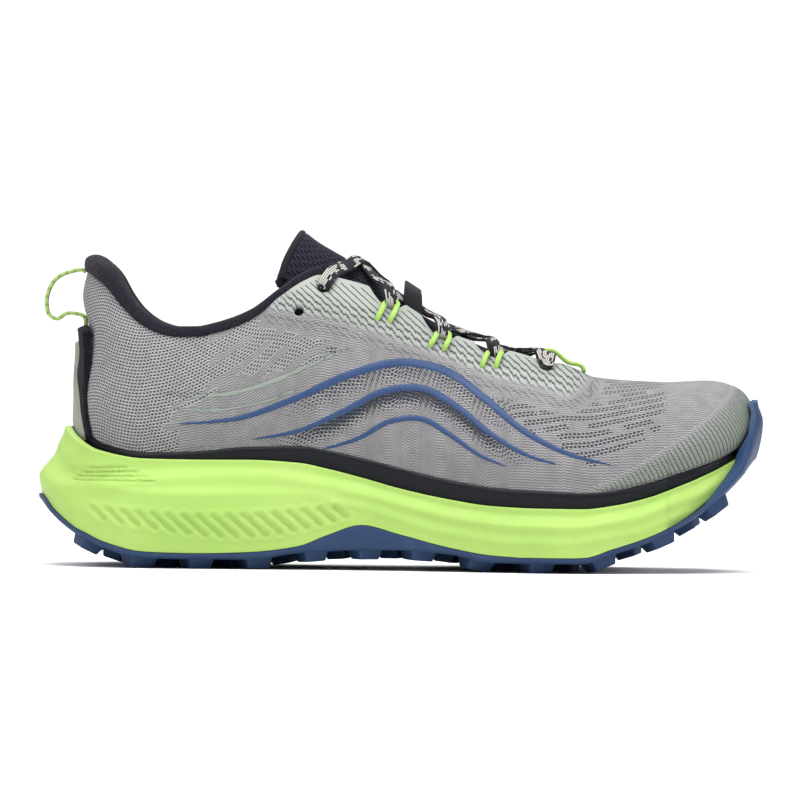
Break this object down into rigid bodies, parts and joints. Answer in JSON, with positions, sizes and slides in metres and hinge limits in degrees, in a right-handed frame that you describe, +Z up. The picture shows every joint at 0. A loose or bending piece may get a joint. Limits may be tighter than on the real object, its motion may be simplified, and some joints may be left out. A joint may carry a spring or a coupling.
{
  "type": "trail running shoe",
  "caption": "Lace-up trail running shoe for the right foot, with a knit upper, thick foam midsole and lugged rubber outsole that wraps over the toe",
  "frame": {"origin": "On the floor under the middle of the shoe's outline, on the plane of the lowest lugs", "axes": "+X from heel to toe, +Y to the inner (medial) side, +Z up; the outer side faces -Y"},
  "size_m": [0.2998, 0.1113, 0.139],
  "materials": {
    "outsole_rubber": "blue moulded rubber",
    "midsole_foam": "light green moulded foam, satin",
    "insole_fabric": "dark brushed fabric on foam",
    "upper_knit": "light grey perforated knit",
    "mint_film": "thin pale green-grey film, matt",
    "rand_film": "near black film, satin",
    "collar_fabric": "dark padded knit",
    "tongue_mesh": "dark padded mesh",
    "heel_tape_pile": "black brushed tape",
    "pull_webbing": "green and grey woven webbing",
    "loop_cord": "bright green braided cord",
    "lace_weave": "black and white woven flat lace",
    "keeper_webbing": "black webbing"
  },
  "bodies": {
    "root": {"outsole": "outsole_rubber", "midsole": "midsole_foam", "insole": "insole_fabric", "upper": "upper_knit", "eyestay": "mint_film", "toe_cap": "mint_film", "rand": "rand_film", "collar": "collar_fabric", "tongue": "tongue_mesh", "heel_tape": "heel_tape_pile", "heel_guard": "mint_film", "pull_loop": "pull_webbing", "lace_loop_outer_1": "loop_cord", "lace_loop_outer_2": "loop_cord", "lace_loop_outer_3": "loop_cord", "lace_loop_inner_1": "loop_cord", "lace_loop_inner_2": "loop_cord", "lace_loop_inner_3": "loop_cord", "lace_loop_front": "loop_cord", "laces": "lace_weave", "lace_keeper": "keeper_webbing"}
  },
  "joints": []
}
